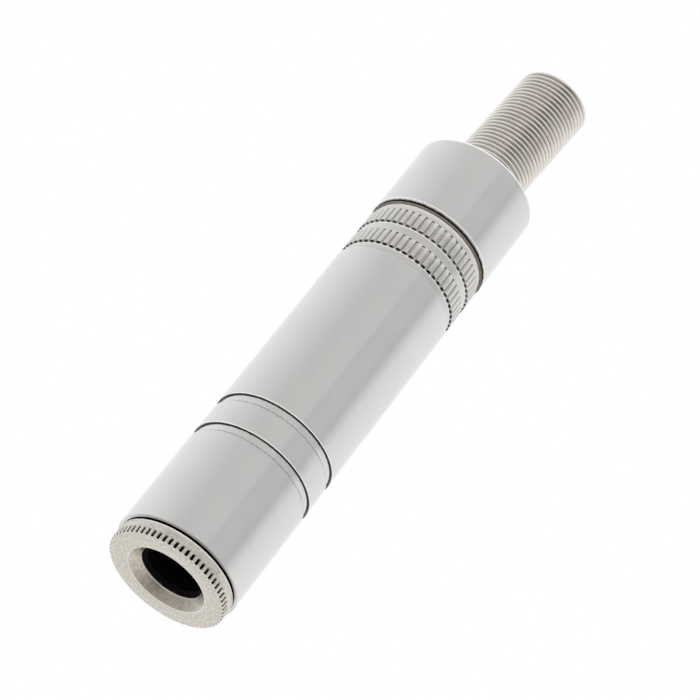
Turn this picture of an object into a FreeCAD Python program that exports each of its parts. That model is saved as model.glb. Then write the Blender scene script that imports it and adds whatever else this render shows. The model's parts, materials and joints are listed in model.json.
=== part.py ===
# Inline 6.35 mm jack socket, standing on its mouth: +Z runs along the axis towards the cable end,
# and the origin is the centre of the mouth face. Sizes are in millimetres.
import FreeCAD, Part
import Sketcher
import os

doc = FreeCAD.newDocument("inline_jack_socket")

# The driving dimensions: name, value, what it measures. Radial sizes build outwards from the plug's bore.
DIMENSIONS = [
    ("plug_bore", 6.5, "bore that takes a 6.35 mm plug"),
    ("bore_edge", 0.3, "chamfer at the bore's mouth"),
    ("guide_length", 6.5, "close-fitting stretch of the bore behind that chamfer"),
    ("bore_relief", 0.2, "radial step from that stretch to the wider bore behind it"),
    ("housing_wall", 2.15, "housing, bore to outside"),
    ("housing_gap", 0.1, "radial room between the housing and the barrel"),
    ("barrel_wall", 1.75, "barrel's wall round the housing"),
    ("barrel_length", 41.72, "barrel, end to end"),
    ("first_groove", 12.7, "barrel's front edge to the first groove"),
    ("groove_spacing", 4.41, "start of one groove to the start of the next"),
    ("groove_width", 1.0, "each turned groove, along the axis"),
    ("groove_depth", 0.22, "each turned groove, into the wall"),
    ("edge_break", 0.12, "small chamfer on turned edges"),
    ("thread_gap", 0.05, "radial clearance of each screwed fit"),
    ("fit_gap", 0.05, "radial clearance of each plain fit"),
    ("front_shoulder", 0.55, "barrel's front thread, outside its plain bore"),
    ("rear_shoulder", 0.7, "barrel's rear thread, outside its plain bore"),
    ("nut_inset", 0.32, "front nut's rim, inside the barrel's surface"),
    ("nut_flange", 1.75, "thickness of the front nut's rim"),
    ("nut_spigot", 4.0, "threaded length of the front nut"),
    ("nut_notches", 64, "notches round the front nut"),
    ("notch_length", 0.72, "each notch, back from the mouth face"),
    ("notch_width", 0.34, "each notch, across its open side"),
    ("notch_depth", 0.2, "each notch, into the rim"),
    ("seam_gap", 0.2, "relief between the nut's rim and the barrel"),
    ("seam_depth", 0.33, "that relief, into the rim"),
    ("throat_gap", 0.42, "nut's throat, outside the plug's bore"),
    ("throat_land", 0.28, "straight land behind the conical mouth"),
    ("mouth_flare", 0.95, "conical mouth, from throat to lip"),
    ("mouth_depth", 1.07, "depth of the conical mouth"),
    ("nose_wall", 1.35, "housing's nose inside the nut"),
    ("washer_thickness", 0.5, "fibre washer behind the nut"),
    ("flange_thickness", 1.5, "housing's flange, clamped in the barrel"),
    ("plug_stop", 3.4, "carrier's stopper inside the bore"),
    ("carrier_length", 5.0, "contact carrier behind the housing"),
    ("carrier_setback", 0.72, "carrier's rear face, inside the barrel's rear edge"),
    ("channel_floor", 0.5, "housing's wall under a contact leaf"),
    ("leaf_gap", 0.05, "room under a leaf in its channel"),
    ("channel_gap", 0.2, "room on each side of a contact in its channel"),
    ("contact_width", 2.6, "each contact strip, across"),
    ("contact_thickness", 0.35, "each contact strip"),
    ("leaf_lead", 2.4, "ramp on each side of a leaf's crest, along the axis"),
    ("crest_length", 0.7, "flat of a leaf's crest"),
    ("lip_drop", 0.6, "free lip of a leaf, nearer the axis than its root"),
    ("tip_depth", 1.05, "tip contact's crest, inside the plug's bore"),
    ("side_depth", 0.6, "ring and sleeve contacts' crests, inside the plug's bore"),
    ("sleeve_crest_place", 11.5, "mouth face to the sleeve contact's crest"),
    ("ring_crest_place", 21.6, "mouth face to the ring contact's crest"),
    ("tip_crest_place", 27.2, "mouth face to the tip contact's crest"),
    ("rivet_diameter", 1.0, "rivet shank"),
    ("rivet_head", 2.0, "rivet head, across"),
    ("rivet_head_height", 0.4, "rivet head"),
    ("rivet_grip", 1.3, "shank inside the carrier"),
    ("rivet_place", 2.4, "carrier's rear face to the rivets"),
    ("tag_length", 5.6, "solder tag behind the carrier"),
    ("tag_joggle", 0.95, "solder tag's step towards the axis"),
    ("solder_eye", 1.2, "hole in each solder tag"),
    ("strap_length", 6.6, "clamp's strap behind the carrier"),
    ("clamp_length", 4.8, "crimp fingers, along the axis"),
    ("clamp_angle", 200, "angle that the crimp fingers wrap, in degrees"),
    ("finger_slot", 1.0, "gap between the two pairs of fingers"),
    ("tag_room", 0.1, "radial room between the tags' corners and the insulating sleeve"),
    ("sleeve_wall", 0.25, "insulating sleeve"),
    ("sleeve_setback", 0.5, "insulating sleeve's end, inside the collar's rear edge"),
    ("collar_spigot", 4.9, "collar's thread inside the barrel"),
    ("land_inset", 0.22, "collar's plain lands, inside the barrel's surface"),
    ("knurl_inset", 0.07, "collar's knurled bands, inside the barrel's surface"),
    ("knurl_depth", 0.22, "knurl's grooves"),
    ("knurl_teeth", 54, "teeth round each knurled band"),
    ("knurl_groove", 0.34, "each knurl groove, across its open side"),
    ("front_land", 0.92, "collar's land next to the barrel"),
    ("knurl_band", 2.22, "each knurled band, along the axis"),
    ("middle_land", 1.16, "collar's land between the bands"),
    ("rear_land", 0.78, "collar's land next to the cap"),
    ("rear_thread_length", 6.0, "collar's thread behind its rear land"),
    ("cap_gap", 0.46, "collar's rear land to the cap"),
    ("cap_washer_inset", 0.12, "fibre washer's edge, inside the cap's surface"),
    ("cap_washer_thickness", 0.3, "fibre washer in front of the cap"),
    ("cap_length", 10.45, "rear cap, end to end"),
    ("cap_wall", 1.3, "rear cap's end wall"),
    ("seat_bearing", 0.52, "spring seat's overlap on the collar's end"),
    ("seat_rim", 0.9, "spring seat's least rim round the cap's hole"),
    ("seat_inset", 0.4, "spring seat's outside, inside the collar's thread"),
    ("seat_gap", 0.15, "radial room round the spring seat"),
    ("seat_skirt", 0.6, "wall of the spring seat's skirt"),
    ("seat_flange", 1.0, "spring seat's floor under the spring"),
    ("seat_spout", 3.0, "spout that stands inside the spring"),
    ("spout_gap", 0.34, "radial room between the spout and the spring"),
    ("spout_wall", 0.55, "wall of the spout"),
    ("thrust_thickness", 0.4, "washer that the cap turns on"),
    ("hole_gap", 0.3, "radial room round the spring in the cap's hole"),
    ("coil_diameter", 8.7, "spring, outside"),
    ("wire_diameter", 0.56, "spring's wire"),
    ("coil_pitch", 0.607, "spring, turn to turn"),
    ("coil_turns", 29.2, "turns of the spring"),
    ("spring_lean", 2.9, "lean of the loose spring at rest, in degrees"),
]

sheet = doc.addObject("Spreadsheet::Sheet", "dims")
for row, (alias, number, meaning) in enumerate(DIMENSIONS, start=1):
    sheet.set(f"A{row}", alias)
    sheet.set(f"B{row}", str(number))
    sheet.set(f"C{row}", meaning)
    sheet.setAlias(f"B{row}", alias)
doc.recompute()

# Stations along the axis, each worked out from the one before.
HOUSING_FRONT = "(dims.mouth_depth + dims.throat_land)"
GUIDE_REAR = f"({HOUSING_FRONT} + dims.bore_edge + dims.guide_length)"
BARREL_FRONT = "(dims.nut_flange + dims.seam_gap)"
NUT_END = f"({BARREL_FRONT} + dims.nut_spigot)"
FLANGE_FRONT = f"({NUT_END} + dims.washer_thickness)"
FLANGE_REAR = f"({FLANGE_FRONT} + dims.flange_thickness)"
BARREL_REAR = f"({BARREL_FRONT} + dims.barrel_length)"
CARRIER_REAR = f"({BARREL_REAR} - dims.carrier_setback)"
HOUSING_REAR = f"({CARRIER_REAR} - dims.carrier_length)"
RIVET_LINE = f"({CARRIER_REAR} - dims.rivet_place)"
COLLAR_FRONT = f"({BARREL_REAR} - dims.collar_spigot)"
LOWER_BAND = f"({BARREL_REAR} + dims.front_land)"
MIDDLE_LAND = f"({LOWER_BAND} + dims.knurl_band)"
UPPER_BAND = f"({MIDDLE_LAND} + dims.middle_land)"
REAR_LAND = f"({UPPER_BAND} + dims.knurl_band)"
COLLAR_TOP = f"({REAR_LAND} + dims.rear_land)"
COLLAR_REAR = f"({COLLAR_TOP} + dims.rear_thread_length)"
CAP_FRONT = f"({COLLAR_TOP} + dims.cap_gap)"
CAP_REAR = f"({CAP_FRONT} + dims.cap_length)"
THRUST_REAR = f"({CAP_REAR} - dims.cap_wall)"
SEAT_REAR = f"({THRUST_REAR} - dims.thrust_thickness)"

# Radii, from the plug's bore outwards.
BORE_R = "(dims.plug_bore / 2)"
WIDE_BORE_R = f"({BORE_R} + dims.bore_relief)"
HOUSING_R = f"({BORE_R} + dims.housing_wall)"
BARREL_BORE_R = f"({HOUSING_R} + dims.housing_gap)"
BARREL_R = f"({BARREL_BORE_R} + dims.barrel_wall)"
FRONT_BORE_R = f"({BARREL_BORE_R} + dims.front_shoulder)"
REAR_BORE_R = f"({BARREL_BORE_R} + dims.rear_shoulder)"
NOSE_R = f"({BORE_R} + dims.nose_wall)"
NUT_SOCKET_R = f"({NOSE_R} + dims.fit_gap)"
THROAT_R = f"({BORE_R} + dims.throat_gap)"

# Radii of the contacts and of what surrounds their tags.
CONTACT_R = f"({BORE_R} + dims.channel_floor + dims.leaf_gap)"
LEAF_OUTER_R = f"({CONTACT_R} + dims.contact_thickness)"
TAG_OUTER_R = f"({LEAF_OUTER_R} + dims.contact_thickness)"
STRIP_HALF = "(dims.contact_width / 2)"
CHANNEL_HALF = f"({STRIP_HALF} + dims.channel_gap)"
RIVET_R = "(dims.rivet_diameter / 2)"
SLEEVE_INNER_R = f"(sqrt({TAG_OUTER_R}^2 + {STRIP_HALF}^2) + dims.tag_room)"
SLEEVE_OUTER_R = f"({SLEEVE_INNER_R} + dims.sleeve_wall)"
COLLAR_BORE_R = f"({SLEEVE_OUTER_R} + dims.fit_gap)"

# Radii of the cap's contents. The seat has to cover both the collar's end and the rim of the cap's hole.
COIL_R = "(dims.coil_diameter / 2)"
CAP_HOLE_R = f"({COIL_R} + dims.hole_gap)"
SEAT_R = f"max({COLLAR_BORE_R} + dims.seat_bearing; {CAP_HOLE_R} + dims.seat_rim)"
REAR_THREAD_R = f"({SEAT_R} + dims.seat_inset)"
SPOUT_R = f"({COIL_R} - dims.wire_diameter - dims.spout_gap)"
CABLE_BORE_R = f"({SPOUT_R} - dims.spout_wall)"

# Each contact: its name, its angle round the axis, where its crest lies and how near the axis that is.
SIDE_CREST_R = f"({BORE_R} - dims.side_depth)"
CONTACTS = [
    ("tip", 0, "dims.tip_crest_place", f"({BORE_R} - dims.tip_depth)"),
    ("sleeve", 90, "dims.sleeve_crest_place", SIDE_CREST_R),
    ("ring", 180, "dims.ring_crest_place", SIDE_CREST_R),
]
Z_AXIS = FreeCAD.Vector(0, 0, 1)

pieces = []


def measure(expression):
    return float(sheet.evalExpression(expression))


def new_body(name, angle=0):
    body = doc.addObject("PartDesign::Body", name)
    body.Placement = FreeCAD.Placement(FreeCAD.Vector(), FreeCAD.Rotation(Z_AXIS, angle))
    pieces.append(body)
    return body


def new_sketch(body, plane, name, lift="0", angle=0):
    # A sketch on one of the body's own planes, moved along that plane's normal and turned in it.
    sketch = body.newObject("Sketcher::SketchObject", f"{body.Name}_{name}")
    support = next(item for item in body.Origin.OriginFeatures if item.Role == plane)
    sketch.AttachmentSupport = (support, "")
    sketch.MapMode = "FlatFace"
    sketch.AttachmentOffset = FreeCAD.Placement(FreeCAD.Vector(), FreeCAD.Rotation(Z_AXIS, angle))
    sketch.setExpression("AttachmentOffset.Base.z", lift)
    return sketch


def hold_point(sketch, geometry, point, across, along):
    # Two sizes that place one point of a sketch.
    for kind, expression in (("DistanceX", across), ("DistanceY", along)):
        number = sketch.addConstraint(Sketcher.Constraint(kind, geometry, point, measure(expression)))
        sketch.setExpression(f"Constraints[{number}]", expression)


def draw_outline(sketch, corners):
    # A closed outline of straight lines between corners.
    points = [FreeCAD.Vector(measure(across), measure(along), 0) for across, along in corners]
    for start, end in zip(points, points[1:] + points[:1]):
        sketch.addGeometry(Part.LineSegment(start, end), False)
    for index, (across, along) in enumerate(corners):
        previous = (index - 1) % len(corners)
        sketch.addConstraint(Sketcher.Constraint("Coincident", previous, 2, index, 1))
        hold_point(sketch, index, 1, across, along)


def draw_circle(sketch, across, along, radius):
    centre = FreeCAD.Vector(measure(across), measure(along), 0)
    sketch.addGeometry(Part.Circle(centre, Z_AXIS, measure(radius)), False)
    hold_point(sketch, 0, 3, across, along)
    number = sketch.addConstraint(Sketcher.Constraint("Radius", 0, measure(radius)))
    sketch.setExpression(f"Constraints[{number}]", radius)


def turn(body, corners):
    # A full solid of revolution about Z from an outline of (radius, height) corners.
    sketch = new_sketch(body, "XZ_Plane", "profile")
    draw_outline(sketch, corners)
    solid = body.newObject("PartDesign::Revolution", f"{body.Name}_turned")
    solid.Profile = sketch
    solid.ReferenceAxis = (sketch, ["V_Axis"])
    solid.Angle = 360


def turn_ring(name, inner, outer, bottom, top):
    body = new_body(name)
    turn(body, [(inner, bottom), (outer, bottom), (outer, top), (inner, top)])


def cut_along_axis(body, name, corners, bottom, length, angle=0):
    # A pocket with its outline square to the axis, cut upwards from a height.
    sketch = new_sketch(body, "XY_Plane", name, bottom, angle)
    draw_outline(sketch, corners)
    pocket = body.newObject("PartDesign::Pocket", f"{body.Name}_{name}_cut")
    pocket.Profile = sketch
    pocket.Reversed = True
    pocket.setExpression("Length", length)
    return pocket


def cut_radial_hole(body, name, height, radius, start, length):
    # A round hole along the body's own X axis, from a distance outwards.
    sketch = new_sketch(body, "YZ_Plane", name, start)
    draw_circle(sketch, "0", height, radius)
    hole = body.newObject("PartDesign::Pocket", f"{body.Name}_{name}_hole")
    hole.Profile = sketch
    hole.Reversed = True
    hole.setExpression("Length", length)
    return hole


def repeat_round(body, feature, count, angle=360):
    # Copies of a cut round the body's own Z axis.
    pattern = body.newObject("PartDesign::PolarPattern", f"{feature.Name}_round")
    pattern.Originals = [feature]
    axis = next(item for item in body.Origin.OriginFeatures if item.Role == "Z_Axis")
    pattern.Axis = (axis, [""])
    pattern.Angle = angle
    pattern.setExpression("Occurrences", count)
    body.Tip = pattern


def bend_strip(body, inner_face, name="strip"):
    # A strip as wide as a contact, from the (radius, height) corners of its inner face.
    outer_face = [(f"{across} + dims.contact_thickness", along) for across, along in reversed(inner_face)]
    sketch = new_sketch(body, "XZ_Plane", name)
    draw_outline(sketch, inner_face + outer_face)
    strip = body.newObject("PartDesign::Pad", f"{body.Name}_{name}_pad")
    strip.Profile = sketch
    strip.Midplane = True
    strip.setExpression("Length", "dims.contact_width")


def pierce_for_rivet(body):
    cut_radial_hole(body, "rivet", RIVET_LINE, f"{RIVET_R} + dims.fit_gap", "0", BARREL_R)


def make_front_nut():
    body = new_body("front_nut")
    rim = f"({BARREL_R} - dims.nut_inset)"
    seam = f"({rim} - dims.seam_depth)"
    thread = f"({FRONT_BORE_R} - dims.thread_gap)"
    turn(body, [
        (f"{THROAT_R} + dims.mouth_flare", "0"),
        (f"{rim} - dims.edge_break", "0"),
        (rim, "dims.edge_break"),
        (rim, "dims.nut_flange - dims.edge_break"),
        (f"{rim} - dims.edge_break", "dims.nut_flange"),
        (seam, "dims.nut_flange"),
        (seam, BARREL_FRONT),
        (thread, BARREL_FRONT),
        (thread, NUT_END),
        (NUT_SOCKET_R, NUT_END),
        (NUT_SOCKET_R, HOUSING_FRONT),
        (THROAT_R, HOUSING_FRONT),
        (THROAT_R, "dims.mouth_depth"),
    ])
    beyond = f"({rim} + dims.notch_depth)"
    notch = cut_along_axis(body, "notch", [
        (f"{rim} - dims.notch_depth", "0"),
        (rim, "-dims.notch_width / 2"),
        (beyond, "-dims.notch_width"),
        (beyond, "dims.notch_width"),
        (rim, "dims.notch_width / 2"),
    ], "0", "dims.notch_length")
    repeat_round(body, notch, "dims.nut_notches")


def make_barrel():
    body = new_body("barrel")
    rear_bore_start = f"({COLLAR_FRONT} - dims.fit_gap)"
    groove_floor = f"({BARREL_R} - dims.groove_depth)"
    corners = [
        (FRONT_BORE_R, BARREL_FRONT),
        (f"{BARREL_R} - dims.edge_break", BARREL_FRONT),
        (BARREL_R, f"{BARREL_FRONT} + dims.edge_break"),
    ]
    for steps in (0, 1):
        start = f"({BARREL_FRONT} + dims.first_groove + {steps} * dims.groove_spacing)"
        end = f"({start} + dims.groove_width)"
        corners += [(BARREL_R, start), (groove_floor, start), (groove_floor, end), (BARREL_R, end)]
    corners += [
        (BARREL_R, f"{BARREL_REAR} - dims.edge_break"),
        (f"{BARREL_R} - dims.edge_break", BARREL_REAR),
        (REAR_BORE_R, BARREL_REAR),
        (REAR_BORE_R, rear_bore_start),
        (BARREL_BORE_R, rear_bore_start),
        (BARREL_BORE_R, FLANGE_REAR),
        (FRONT_BORE_R, FLANGE_REAR),
    ]
    turn(body, corners)


def make_socket_housing():
    body = new_body("socket_housing")
    flange = f"({FRONT_BORE_R} - dims.housing_gap)"
    turn(body, [
        (BORE_R, f"{HOUSING_FRONT} + dims.bore_edge"),
        (f"{BORE_R} + dims.bore_edge", HOUSING_FRONT),
        (NOSE_R, HOUSING_FRONT),
        (NOSE_R, FLANGE_FRONT),
        (flange, FLANGE_FRONT),
        (flange, FLANGE_REAR),
        (HOUSING_R, FLANGE_REAR),
        (HOUSING_R, HOUSING_REAR),
        (WIDE_BORE_R, HOUSING_REAR),
        (WIDE_BORE_R, GUIDE_REAR),
        (BORE_R, GUIDE_REAR),
    ])
    floor = f"({CONTACT_R} - dims.leaf_gap)"
    reach = "(dims.leaf_lead + dims.crest_length / 2 + dims.channel_gap)"
    for name, angle, crest_place, crest_radius in CONTACTS:
        start = f"({crest_place} - {reach})"
        for part_name, inner, outer, length in (
            ("channel", floor, BARREL_R, f"{HOUSING_REAR} - {start} + dims.carrier_length"),
            ("window", f"({BORE_R} / 2)", CONTACT_R, f"2 * {reach}"),
        ):
            cut_along_axis(body, f"{name}_{part_name}", [
                (inner, f"-{CHANNEL_HALF}"),
                (outer, f"-{CHANNEL_HALF}"),
                (outer, CHANNEL_HALF),
                (inner, CHANNEL_HALF),
            ], start, length, angle)


def make_contact_carrier():
    body = new_body("contact_carrier")
    stopper = f"({WIDE_BORE_R} - dims.fit_gap)"
    stopper_front = f"({HOUSING_REAR} - dims.plug_stop)"
    turn(body, [
        ("0", stopper_front),
        (f"{stopper} - dims.bore_edge", stopper_front),
        (stopper, f"{stopper_front} + dims.bore_edge"),
        (stopper, HOUSING_REAR),
        (HOUSING_R, HOUSING_REAR),
        (HOUSING_R, CARRIER_REAR),
        ("0", CARRIER_REAR),
    ])
    flat = cut_along_axis(body, "flat", [
        (CONTACT_R, f"-{CHANNEL_HALF}"),
        (BARREL_R, f"-{CHANNEL_HALF}"),
        (BARREL_R, CHANNEL_HALF),
        (CONTACT_R, CHANNEL_HALF),
    ], HOUSING_REAR, "dims.carrier_length * 2")
    repeat_round(body, flat, "3", 180)
    hole = cut_radial_hole(body, "rivet", RIVET_LINE, RIVET_R, f"{CONTACT_R} - dims.rivet_grip", BARREL_R)
    repeat_round(body, hole, "3", 180)


def make_contact(name, angle, crest_place, crest_radius):
    body = new_body(f"{name}_contact", angle)
    half_crest = "dims.crest_length / 2"
    bend_strip(body, [
        (CONTACT_R, f"{CARRIER_REAR} - dims.channel_gap"),
        (CONTACT_R, f"{crest_place} + {half_crest} + dims.leaf_lead"),
        (crest_radius, f"{crest_place} + {half_crest}"),
        (crest_radius, f"{crest_place} - {half_crest}"),
        (f"({CONTACT_R} - dims.lip_drop)", f"{crest_place} - {half_crest} - dims.leaf_lead"),
    ])
    pierce_for_rivet(body)


def make_tag(name, angle):
    body = new_body(f"{name}_tag", angle)
    tag_end = f"({CARRIER_REAR} + dims.tag_length)"
    stepped = f"({LEAF_OUTER_R} - dims.tag_joggle)"
    bend_strip(body, [
        (LEAF_OUTER_R, f"{HOUSING_REAR} + dims.channel_gap"),
        (LEAF_OUTER_R, f"{CARRIER_REAR} + dims.channel_gap"),
        (stepped, f"{CARRIER_REAR} + dims.channel_gap + dims.tag_joggle"),
        (stepped, tag_end),
    ])
    pierce_for_rivet(body)
    cut_radial_hole(body, "eye", f"{tag_end} - dims.solder_eye", "dims.solder_eye / 2", "0", BARREL_R)


def make_cable_clamp(angle):
    body = new_body("cable_clamp", angle)
    strap_end = f"({CARRIER_REAR} + dims.strap_length)"
    clamp_end = f"({strap_end} + dims.clamp_length)"
    bend_strip(body, [
        (LEAF_OUTER_R, f"{HOUSING_REAR} + dims.channel_gap"),
        (LEAF_OUTER_R, f"{strap_end} + dims.finger_slot"),
    ])
    band = new_sketch(body, "XZ_Plane", "band")
    draw_outline(band, [
        (LEAF_OUTER_R, strap_end),
        (TAG_OUTER_R, strap_end),
        (TAG_OUTER_R, clamp_end),
        (LEAF_OUTER_R, clamp_end),
    ])
    fingers = body.newObject("PartDesign::Revolution", "cable_clamp_fingers")
    fingers.Profile = band
    fingers.ReferenceAxis = (band, ["V_Axis"])
    fingers.Midplane = True
    fingers.setExpression("Angle", "dims.clamp_angle")
    for side, sign in (("left", "-"), ("right", "")):
        cut_along_axis(body, f"{side}_slot", [
            (f"-{BARREL_R}", f"{sign}{STRIP_HALF}"),
            (BARREL_R, f"{sign}{STRIP_HALF}"),
            (BARREL_R, f"{sign}{BARREL_R}"),
            (f"-{BARREL_R}", f"{sign}{BARREL_R}"),
        ], f"{strap_end} + (dims.clamp_length - dims.finger_slot) / 2", "dims.finger_slot")
    pierce_for_rivet(body)
    eye_place = f"({CARRIER_REAR} + 2 * dims.solder_eye)"
    cut_radial_hole(body, "eye", eye_place, "dims.solder_eye / 2", "0", BARREL_R)


def make_rivet(name, angle):
    body = new_body(f"{name}_rivet", angle)
    sketch = new_sketch(body, "XY_Plane", "profile", RIVET_LINE)
    foot = f"({CONTACT_R} - dims.rivet_grip)"
    head_top = f"({TAG_OUTER_R} + dims.rivet_head_height)"
    draw_outline(sketch, [
        (foot, "0"),
        (foot, RIVET_R),
        (TAG_OUTER_R, RIVET_R),
        (TAG_OUTER_R, "dims.rivet_head / 2"),
        (f"{head_top} - dims.edge_break", "dims.rivet_head / 2"),
        (head_top, "dims.rivet_head / 2 - dims.edge_break"),
        (head_top, "0"),
    ])
    solid = body.newObject("PartDesign::Revolution", f"{name}_rivet_turned")
    solid.Profile = sketch
    solid.ReferenceAxis = (sketch, ["H_Axis"])
    solid.Angle = 360


def make_knurled_collar():
    body = new_body("knurled_collar")
    spigot = f"({REAR_BORE_R} - dims.thread_gap)"
    land = f"({BARREL_R} - dims.land_inset)"
    knurl = f"({BARREL_R} - dims.knurl_inset)"
    root = f"({knurl} - dims.knurl_depth)"
    turn(body, [
        (BARREL_BORE_R, COLLAR_FRONT),
        (spigot, COLLAR_FRONT),
        (spigot, BARREL_REAR),
        (land, BARREL_REAR),
        (land, LOWER_BAND),
        (knurl, LOWER_BAND),
        (knurl, MIDDLE_LAND),
        (land, MIDDLE_LAND),
        (land, UPPER_BAND),
        (knurl, UPPER_BAND),
        (knurl, REAR_LAND),
        (land, REAR_LAND),
        (land, f"{COLLAR_TOP} - dims.edge_break"),
        (f"{land} - dims.edge_break", COLLAR_TOP),
        (REAR_THREAD_R, COLLAR_TOP),
        (REAR_THREAD_R, f"{COLLAR_REAR} - dims.edge_break"),
        (f"{REAR_THREAD_R} - dims.edge_break", COLLAR_REAR),
        (COLLAR_BORE_R, COLLAR_REAR),
        (COLLAR_BORE_R, BARREL_REAR),
        (BARREL_BORE_R, BARREL_REAR),
    ])
    beyond = f"({knurl} + dims.knurl_groove)"
    for name, bottom in (("lower", LOWER_BAND), ("upper", UPPER_BAND)):
        groove = cut_along_axis(body, name, [
            (root, "-dims.knurl_groove / 4"),
            (knurl, "-dims.knurl_groove / 2"),
            (beyond, "-dims.knurl_groove"),
            (beyond, "dims.knurl_groove"),
            (knurl, "dims.knurl_groove / 2"),
            (root, "dims.knurl_groove / 4"),
        ], bottom, "dims.knurl_band")
        repeat_round(body, groove, "dims.knurl_teeth")


def make_rear_cap():
    body = new_body("rear_cap")
    thread = f"({REAR_THREAD_R} + dims.thread_gap)"
    thread_end = f"({COLLAR_REAR} + dims.fit_gap)"
    cavity = f"({SEAT_R} + dims.seat_gap)"
    turn(body, [
        (thread, CAP_FRONT),
        (f"{BARREL_R} - dims.edge_break", CAP_FRONT),
        (BARREL_R, f"{CAP_FRONT} + dims.edge_break"),
        (BARREL_R, f"{CAP_REAR} - dims.edge_break"),
        (f"{BARREL_R} - dims.edge_break", CAP_REAR),
        (f"{CAP_HOLE_R} + dims.edge_break", CAP_REAR),
        (CAP_HOLE_R, f"{CAP_REAR} - dims.edge_break"),
        (CAP_HOLE_R, THRUST_REAR),
        (cavity, THRUST_REAR),
        (cavity, thread_end),
        (thread, thread_end),
    ])


def make_spring_seat():
    body = new_body("spring_seat")
    skirt = f"({SEAT_R} - dims.seat_skirt)"
    floor = f"({SEAT_REAR} - dims.seat_flange)"
    spout_end = f"({SEAT_REAR} + dims.seat_spout)"
    turn(body, [
        (CABLE_BORE_R, floor),
        (skirt, floor),
        (skirt, COLLAR_REAR),
        (SEAT_R, COLLAR_REAR),
        (SEAT_R, SEAT_REAR),
        (SPOUT_R, SEAT_REAR),
        (SPOUT_R, spout_end),
        (CABLE_BORE_R, spout_end),
    ])


def make_kink_spring():
    # The coil is made round the origin and then stood on the seat, leaning about its foot.
    coil_line = f"({COIL_R} - dims.wire_diameter / 2)"
    coil = doc.addObject("Part::Helix", "kink_spring_coil")
    coil.SegmentLength = 1
    coil.setExpression("Radius", coil_line)
    coil.setExpression("Pitch", "dims.coil_pitch")
    coil.setExpression("Height", "dims.coil_pitch * dims.coil_turns")
    wire = doc.addObject("Part::Circle", "kink_spring_wire")
    wire.setExpression("Radius", "dims.wire_diameter / 2")
    wire.Placement = FreeCAD.Placement(FreeCAD.Vector(), FreeCAD.Rotation(FreeCAD.Vector(1, 0, 0), 90))
    wire.setExpression("Placement.Base.x", coil_line)
    doc.recompute()
    spring = doc.addObject("Part::Sweep", "kink_spring")
    spring.Sections = [wire]
    spring.Spine = (coil, [f"Edge{number}" for number in range(1, len(coil.Shape.Edges) + 1)])
    spring.Solid = True
    spring.Frenet = True
    spring.Placement = FreeCAD.Placement(FreeCAD.Vector(), FreeCAD.Rotation(FreeCAD.Vector(0, 1, 0), 1))
    spring.setExpression("Placement.Rotation.Angle", "dims.spring_lean")
    foot = f"(dims.wire_diameter / 2 + {COIL_R} * sin(dims.spring_lean * 1 deg))"
    spring.setExpression("Placement.Base.z", f"{SEAT_REAR} + {foot}")
    pieces.append(spring)


make_front_nut()
turn_ring("front_washer", NUT_SOCKET_R, f"{FRONT_BORE_R} - dims.housing_gap", NUT_END, FLANGE_FRONT)
make_barrel()
make_socket_housing()
make_contact_carrier()
for contact_name, contact_angle, place, radius in CONTACTS:
    make_contact(contact_name, contact_angle, place, radius)
    make_rivet(contact_name, contact_angle)
    if contact_name == "sleeve":
        make_cable_clamp(contact_angle)
    else:
        make_tag(contact_name, contact_angle)
turn_ring("insulating_sleeve", SLEEVE_INNER_R, SLEEVE_OUTER_R, CARRIER_REAR,
          f"{COLLAR_REAR} - dims.sleeve_setback")
make_knurled_collar()
turn_ring("cap_washer", f"{REAR_THREAD_R} + dims.fit_gap", f"{BARREL_R} - dims.cap_washer_inset", COLLAR_TOP,
          f"{COLLAR_TOP} + dims.cap_washer_thickness")
make_rear_cap()
turn_ring("thrust_washer", CAP_HOLE_R, SEAT_R, SEAT_REAR, THRUST_REAR)
make_spring_seat()
make_kink_spring()
doc.recompute()

for item in doc.Objects:
    if "Invalid" in item.State or "Error" in item.State:
        raise RuntimeError(f"{item.Name} failed: {item.State}")
for piece in pieces:
    if piece.Shape.isNull() or not piece.Shape.isValid() or len(piece.Shape.Solids) != 1:
        raise RuntimeError(f"{piece.Label} is not one valid solid")

os.makedirs("parts", exist_ok=True)
for piece in pieces:
    piece.Shape.exportStep(f"parts/{piece.Label}.step")
    print(f"{piece.Label}: {piece.Shape.Volume:.2f} mm3")
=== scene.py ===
import bpy
import bmesh
import json
import math
from mathutils import Matrix, Quaternion, Vector


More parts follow.
